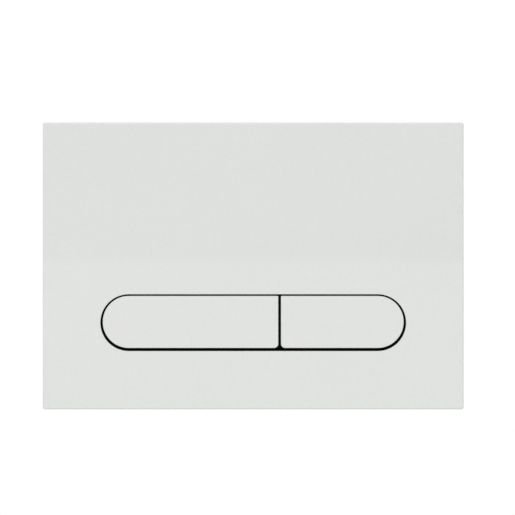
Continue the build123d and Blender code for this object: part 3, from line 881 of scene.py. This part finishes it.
def pan_screw_tree():
    """A pan-head screw: head at the back, shank to the front, with a cross recess in the dome."""
    sizes = ("Head Radius", "Head Height", "Shank Radius", "Shank Length")
    tree, given = new_tree("pan_screw", dict.fromkeys(sizes, "Float"))
    head_radius, full_height = given["Head Radius"], given["Head Height"]
    wall_height, wall_middle, shank_middle, recess_length, recess_width = [
        add_node(tree, "ShaderNodeMath", {0: size, 1: share}, operation="MULTIPLY").outputs[0]
        for size, share in (
            (full_height, wall_share),
            (full_height, wall_share / 2),
            (given["Shank Length"], -0.5),
            (head_radius, recess_length_share),
            (head_radius, recess_width_share),
        )
    ]
    dome_height = add_node(tree, "ShaderNodeMath", {0: full_height, 1: wall_height}, operation="SUBTRACT")
    flatness = {0: dome_height.outputs[0], 1: head_radius}
    flatten = add_node(tree, "ShaderNodeMath", flatness, operation="DIVIDE")
    dome_scale = add_node(tree, "ShaderNodeCombineXYZ", {"X": 1.0, "Y": 1.0, "Z": flatten.outputs[0]})
    bar_size = add_node(
        tree, "ShaderNodeCombineXYZ", {"X": recess_length, "Y": recess_width, "Z": full_height}
    )
    ball = add_node(
        tree,
        "GeometryNodeMeshUVSphere",
        {"Segments": head_sides, "Rings": head_sides // 2, "Radius": head_radius},
    )
    bar = add_node(tree, "GeometryNodeMeshCube", {"Size": bar_size.outputs["Vector"]})
    wall = add_node(
        tree,
        "GeometryNodeMeshCylinder",
        {"Vertices": head_sides, "Radius": head_radius, "Depth": wall_height},
    )
    shank = add_node(
        tree,
        "GeometryNodeMeshCylinder",
        {"Vertices": shank_sides, "Radius": given["Shank Radius"], "Depth": given["Shank Length"]},
    )
    placed = []
    for shape, height, change in (
        (ball, wall_height, {"Scale": dome_scale.outputs["Vector"]}),
        (bar, full_height, {}),
        (bar, full_height, {"Rotation": quarter_turn}),
        (wall, wall_middle, {}),
        (shank, shank_middle, {}),
    ):
        spot = add_node(tree, "ShaderNodeCombineXYZ", {"Z": height})
        place = {"Geometry": shape.outputs["Mesh"], "Translation": spot.outputs["Vector"], **change}
        placed.append(add_node(tree, "GeometryNodeTransform", place).outputs["Geometry"])
    dome, first_bar, second_bar, wall_place, shank_place = placed
    head = add_node(tree, "GeometryNodeMeshBoolean", {"Mesh 1": dome}, operation="DIFFERENCE", solver="EXACT")
    for cutter in (first_bar, second_bar):
        tree.links.new(cutter, head.inputs["Mesh 2"])
    screw = add_node(tree, "GeometryNodeJoinGeometry", {"Geometry": head.outputs["Mesh"]})
    for rest in (wall_place, shank_place):
        tree.links.new(rest, screw.inputs["Geometry"])
    return repeat_and_finish(tree, screw.outputs["Geometry"], given)


screw_boxes = [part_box(f"{button}_spring_screw") for button in button_names]
screw_low, screw_high = screw_boxes[0]
first, second = [
    Vector(((low.x + high.x) / 2, high.y - head_height, (low.z + high.z) / 2)) for low, high in screw_boxes
]
screw_sizes = {
    "Head Radius": (screw_high.x - screw_low.x) / 2,
    "Head Height": head_height,
    "Shank Radius": shank_radius,
    "Shank Length": first.y - screw_low.y,
}
screw_mesh = mesh_from(
    pan_screw_tree(), "spring_screws", zinc_plate,
    Start=first, Spacing=second - first, Count=2, **screw_sizes,
)
screws = smooth_shading(join_meshes("spring_screws_cross_head", zinc_plate, [screw_mesh]))
settle(screws, "plate", "zinc_steel", *[f"{button}_spring_screw" for button in button_names])

# %% [markdown]
# A moulding is pushed out of its tool by round pins, and each pin leaves a faint ring on the hidden side. The
# rings are thin hoops, half sunk in the wall, in even rows: between the ribs of the frame's channel and
# inside the cover.

# %% Ejector pin marks
front_wall = 2.4 * mm
channel_floor_y = -3.0 * mm
frame_rim = 14 * mm
hoop_sides = 8
hoop_thickness = 0.12 * mm
cover_mark_count = 4
cover_mark_inset = 35 * mm
cover_mark_drop = 48 * mm
frame_marks_wide = 5
frame_marks_high = 3
frame_mark = {"Radius": 2.6 * mm, "Thickness": hoop_thickness}


def hoop_tree():
    """A thin hoop that lies in the wall, facing the back."""
    tree, given = new_tree("ejector_mark", {"Radius": "Float", "Thickness": "Float"})
    circle, section = [
        add_node(tree, "GeometryNodeCurvePrimitiveCircle", {"Resolution": sides, "Radius": given[size]})
        for sides, size in ((round_sides, "Radius"), (hoop_sides, "Thickness"))
    ]
    hoop = add_node(
        tree,
        "GeometryNodeCurveToMesh",
        {"Curve": circle.outputs["Curve"], "Profile Curve": section.outputs["Curve"]},
    )
    return repeat_and_finish(tree, hoop.outputs["Mesh"], given)


def settle_marks(name, material, meshes):
    """Joins the marks of one moulding into a piece that rides on the plate."""
    hoops = smooth_shading(join_meshes(name, material, meshes))
    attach(hoops, "plate")


ejector_mark = hoop_tree()
cover_step = (plate_high.x - plate_low.x - 2 * cover_mark_inset) / (cover_mark_count - 1)
cover_start = (plate_low.x + cover_mark_inset, front_y + front_wall, plate_high.z - cover_mark_drop)
cover_marks = mesh_from(
    ejector_mark, "cover_marks", plate_abs, Radius=3.2 * mm, Thickness=hoop_thickness,
    Start=cover_start, Spacing=(cover_step, 0, 0), Count=cover_mark_count,
)
settle_marks("cover_ejector_marks", plate_abs, [cover_marks])

frame_marks = []
rib_step = (frame_high.x - frame_low.x - 2 * frame_rim) / frame_marks_wide
side_step = (frame_high.z - frame_low.z - 2 * frame_rim) / frame_marks_high
first_x = -rib_step * (frame_marks_wide - 1) / 2
first_z = (frame_low.z + frame_high.z) / 2 - side_step * (frame_marks_high - 1) / 2
for rim_z in (frame_high.z - frame_rim / 2, frame_low.z + frame_rim / 2):
    frame_marks.append(mesh_from(
        ejector_mark, "frame_marks_across", frame_polypropylene, **frame_mark,
        Start=(first_x, channel_floor_y, rim_z), Spacing=(rib_step, 0, 0), Count=frame_marks_wide,
    ))
for rim_x in (frame_high.x - frame_rim / 2, frame_low.x + frame_rim / 2):
    frame_marks.append(mesh_from(
        ejector_mark, "frame_marks_up", frame_polypropylene, **frame_mark,
        Start=(rim_x, channel_floor_y, first_z), Spacing=(0, 0, side_step), Count=frame_marks_high,
    ))
settle_marks("frame_ejector_marks", frame_polypropylene, frame_marks)

# %% [markdown]
# The studio is plain. The world is an even soft light. What the camera and shiny surfaces see of it is plain
# white, which the Light Path node picks out, so the background is white without putting more light on the
# object.

# %% World
white = linear("#FFFFFF")


def seen_rays(tree):
    """A socket that is 1 for what the camera and shiny or clear surfaces see, and 0 for other light."""
    ray = add_node(tree, "ShaderNodeLightPath").outputs
    direct = {0: ray["Is Camera Ray"], 1: ray["Is Glossy Ray"]}
    seen = add_node(tree, "ShaderNodeMath", direct, operation="MAXIMUM")
    through = {0: seen.outputs[0], 1: ray["Is Transmission Ray"]}
    return add_node(tree, "ShaderNodeMath", through, operation="MAXIMUM").outputs[0]


world = bpy.data.worlds.new("studio")
bpy.context.scene.world = world
world.use_nodes = True
sky = world.node_tree
sky.nodes.clear()
soft_light = add_node(sky, "ShaderNodeBackground", {"Color": white, "Strength": 0.55})
white_card = add_node(sky, "ShaderNodeBackground", {"Color": white, "Strength": 1.0})
either = add_node(
    sky, "ShaderNodeMixShader", {0: seen_rays(sky), 1: soft_light.outputs[0], 2: white_card.outputs[0]}
)
add_node(sky, "ShaderNodeOutputWorld", {"Surface": either.outputs[0]})
bpy.context.scene.view_settings.view_transform = "Standard"
print("world nodes:", len(sky.nodes))

# %% [markdown]
# A pale floor lies well below the plate and keeps its soft shadow close by. Further away the floor fades into
# the same white as the world, so that no horizon shows behind the plate. Its underside is clear, so that the
# plate can be seen from below.

# %% Floor
floor_depth = 0.30
floor_half = 3.2
floor_cloud_mm = 400
shadow_reach = 0.35
white_reach = 1.5
floor_mesh = bpy.data.meshes.new("floor")
floor_sides = ((-1, -1), (1, -1), (1, 1), (-1, 1))
floor_corners = [(x * floor_half, y * floor_half, -floor_depth) for x, y in floor_sides]
floor_mesh.from_pydata(floor_corners, [], [(0, 1, 2, 3)])
floor = add_object("floor", floor_mesh)
floor_paint, floor_tree = new_material("pale_floor_paint")
floor_place = add_node(floor_tree, "ShaderNodeTexCoord").outputs["Object"]
floor_cloud = add_node(
    floor_tree, "ShaderNodeTexNoise", {"Vector": floor_place, "Scale": scale_for(floor_cloud_mm)}
)
floor_tint = add_node(
    floor_tree,
    "ShaderNodeMix",
    {"Factor": floor_cloud.outputs["Fac"], "A": linear("#F4F4F3"), "B": linear("#F1F1F0")},
    data_type="RGBA",
)
matt_floor = add_node(
    floor_tree, "ShaderNodeBsdfPrincipled", {"Base Color": floor_tint.outputs["Result"], "Roughness": 0.8}
)
white_floor = add_node(floor_tree, "ShaderNodeEmission", {"Color": white, "Strength": 1.0})
away = add_node(floor_tree, "ShaderNodeVectorMath", {0: floor_place}, operation="LENGTH")
fade = add_node(
    floor_tree,
    "ShaderNodeMapRange",
    {"Value": away.outputs["Value"], "From Min": shadow_reach, "From Max": white_reach},
    interpolation_type="SMOOTHSTEP",
)
faded = add_node(
    floor_tree, "ShaderNodeMath", {0: fade.outputs["Result"], 1: seen_rays(floor_tree)}, operation="MULTIPLY"
)
upper_side = add_node(
    floor_tree,
    "ShaderNodeMixShader",
    {0: faded.outputs[0], 1: matt_floor.outputs[0], 2: white_floor.outputs[0]},
)
underside = add_node(floor_tree, "ShaderNodeNewGeometry").outputs["Backfacing"]
clear = add_node(floor_tree, "ShaderNodeBsdfTransparent")
floor_look = add_node(
    floor_tree, "ShaderNodeMixShader", {0: underside, 1: upper_side.outputs[0], 2: clear.outputs[0]}
)
floor.data.materials.append(finish_material(floor_paint, floor_look))
floor_paint.cycles.emission_sampling = "NONE"
print("floor at z, mm:", -floor_depth / mm)

# %% [markdown]
# Large soft boxes in front and behind give the light a gentle direction. The low strip in front of the plate
# is there to be reflected: its upper edge stands level with the camera, so it shows in the polished plastic
# as the faint step of tone across the middle of the plate.

# %% Lamps
strip_distance = 0.9
strip_width = 0.8


def soft_box(name, place, target, size, glow, colour="#FFFFFF"):
    """A rectangular lamp that faces a target. glow is how bright its face is, where 1 is white."""
    lamp = bpy.data.lights.new(name, "AREA")
    lamp.shape = "RECTANGLE"
    lamp.size, lamp.size_y = size
    lamp.energy = glow * math.pi * size[0] * size[1]
    lamp.color = linear(colour)[:3]
    box = bpy.data.objects.new(name, lamp)
    bpy.context.scene.collection.objects.link(box)
    box.location = place
    box.rotation_euler = (Vector(target) - Vector(place)).to_track_quat("-Z", "Y").to_euler()
    box.visible_camera = False
    print(name, "watts:", round(lamp.energy, 2))


def low_strip(name, top, bottom, glow, colour):
    """A strip in front of the plate, from one height to another, that faces it squarely."""
    middle = (top + bottom) / 2
    place, target = (0, front_y - strip_distance, middle), (0, front_y, middle)
    soft_box(name, place, target, (strip_width, top - bottom), glow, colour)


soft_box("front_soft_box", place=(-0.5, -2.6, 2.2), target=(0, 0, 0), size=(3.0, 3.0), glow=1.88)
soft_box("back_soft_box", place=(1.4, 2.4, 2.0), target=(0, 0, 0), size=(2.5, 2.5), glow=1.4)
low_strip("low_strip", top=2.8 * mm, bottom=-100 * mm, glow=0.6, colour="#FFECF5")

# %% [markdown]
# The photograph looks straight at the plate with a long lens, so the far edges don't converge. The camera
# stands level with the middle of the picture, at the distance where the picture is as wide as the photograph
# shows.

# %% Camera
picture_pixels = 515
plate_pixels = 420.8
picture_centre = Vector((2.24 * mm, 0, 4.4 * mm))
picture_width = (plate_high.x - plate_low.x) * picture_pixels / plate_pixels
camera_data = bpy.data.cameras.new("camera")
camera_data.lens = 600
camera_data.sensor_width = 36
camera_data.clip_start = 0.01
camera_distance = picture_width * camera_data.lens / camera_data.sensor_width
camera = bpy.data.objects.new("camera", camera_data)
bpy.context.scene.collection.objects.link(camera)
camera.location = picture_centre + Vector((0, front_y - camera_distance, 0))
camera.rotation_euler = (math.pi / 2, 0, 0)
bpy.context.scene.camera = camera
print("camera distance, mm:", round(camera_distance / mm))
